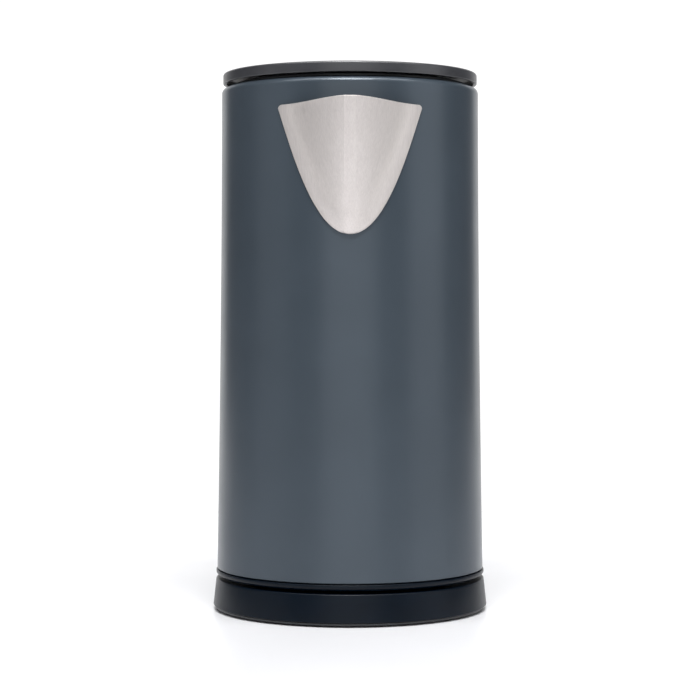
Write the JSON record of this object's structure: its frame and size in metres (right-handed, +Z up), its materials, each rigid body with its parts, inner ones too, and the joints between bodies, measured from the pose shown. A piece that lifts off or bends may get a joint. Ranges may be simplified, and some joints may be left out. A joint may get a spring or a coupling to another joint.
{
  "type": "electric kettle",
  "caption": "Cordless electric kettle: tall slate-grey steel jug with a beak spout, flat black lid and rear handle, on a round power base.",
  "frame": {"origin": "on the table top, under the middle of the footprint from the spout's nose to the handle's back", "axes": "+Z up, -Y towards the spout, +Y towards the handle, +X to the right seen from the spout side"},
  "size_m": [0.131, 0.1984, 0.256],
  "materials": {
    "slate_paint": "satin slate-grey paint",
    "brushed_steel": "fine vertical brushing",
    "gloss_black": "semi-gloss black",
    "satin_black": "satin black, fine texture",
    "clear_plastic": "clear plastic",
    "float_red": "gloss",
    "seal_silicone": "matte silicone",
    "foot_rubber": "matte",
    "control_plastic": "matte",
    "brass": "bright",
    "aluminium": "matte",
    "zinc_screw": "zinc plated"
  },
  "bodies": {
    "power_base": {"base_cover": "gloss_black", "base_bottom": "satin_black", "base_socket": "satin_black", "contact_centre": "brass", "contact_ring": "brass", "contact_earth": "brass", "cord_gland": "foot_rubber", "foot_1": "foot_rubber", "foot_2": "foot_rubber", "foot_3": "foot_rubber", "base_screw_1": "zinc_screw", "base_screw_2": "zinc_screw", "base_screw_3": "zinc_screw"},
    "coupler": {"coupler_plug": "satin_black", "coupler_pin": "brass", "coupler_ring": "brass", "coupler_earth_ring": "brass"},
    "jug": {"body_shell": "slate_paint", "spout": "brushed_steel", "top_collar": "satin_black", "filter_frame": "satin_black", "filter_screen": "brushed_steel", "bottom_cover": "gloss_black", "shell_foot_ring": "brushed_steel", "cover_screw_1": "zinc_screw", "cover_screw_2": "zinc_screw", "element_plate": "brushed_steel", "plate_seal": "seal_silicone", "diffuser_plate": "aluminium", "heating_element": "aluminium", "steam_tube": "seal_silicone", "control_unit": "control_plastic", "boil_dry_disc": "brass", "steam_disc": "brass", "gauge_window": "clear_plastic", "switch_bezel": "gloss_black", "lamp_lens": "clear_plastic", "keeper_spring": "brushed_steel", "hinge_block": "satin_black", "hinge_pin": "brushed_steel", "hinge_screw_1": "zinc_screw", "hinge_screw_2": "zinc_screw", "handle_cover": "satin_black", "handle_frame": "satin_black", "handle_bracket": "brushed_steel", "handle_screw_upper": "zinc_screw", "handle_screw_lower": "zinc_screw"},
    "lid": {"lid_cover": "satin_black", "lid_under": "satin_black", "lid_seal": "seal_silicone", "lid_screw_1": "zinc_screw", "lid_screw_2": "zinc_screw", "button_spring": "brushed_steel", "bolt_spring": "brushed_steel"},
    "button": {"lid_button": "satin_black"},
    "bolt": {"lid_bolt": "brushed_steel"},
    "switch": {"switch_lever": "gloss_black"},
    "trip": {"trip_lever": "control_plastic"},
    "float": {"gauge_float": "float_red"}
  },
  "joints": [
    {"name": "kettle_lift", "type": "slide", "parent": "power_base", "child": "coupler", "axis": [0, 0, 1], "range_m": [0, 0.1]},
    {"name": "kettle_turn", "type": "hinge", "parent": "coupler", "child": "jug", "pos_m": [0, -0.01729, 0.02], "axis": [0, 0, 1], "continuous": true},
    {"name": "lid_hinge", "type": "hinge", "parent": "jug", "child": "lid", "pos_m": [0, 0.04971, 0.2495], "axis": [-1, 0, 0], "range_deg": [0, 78], "deforming": ["keeper_spring"]},
    {"name": "lid_button_press", "type": "slide", "parent": "lid", "child": "button", "axis": [0, 0, -1], "range_m": [0, 0.0025], "stiffness_N_per_m": 500, "springref_m": -0.002, "deforming": ["button_spring"]},
    {"name": "lid_bolt_slide", "type": "slide", "parent": "lid", "child": "bolt", "axis": [0, 1, 0], "range_m": [0, 0.0031], "deforming": ["bolt_spring"]},
    {"name": "switch_press", "type": "hinge", "parent": "jug", "child": "switch", "pos_m": [0, 0.03471, 0.0275], "axis": [-1, 0, 0], "range_deg": [0, 9]},
    {"name": "trip_turn", "type": "hinge", "parent": "jug", "child": "trip", "pos_m": [0, 0.01671, 0.0314], "axis": [1, 0, 0], "range_deg": [0, 7.5]},
    {"name": "float_rise", "type": "slide", "parent": "jug", "child": "float", "axis": [0, -0.01, 0.9999], "range_m": [0, 0.095]}
  ],
  "couplings": [
    {"joint": "lid_bolt_slide", "follows": "lid_button_press", "ratio": 1.2},
    {"joint": "trip_turn", "follows": "switch_press", "ratio": 0.8}
  ]
}
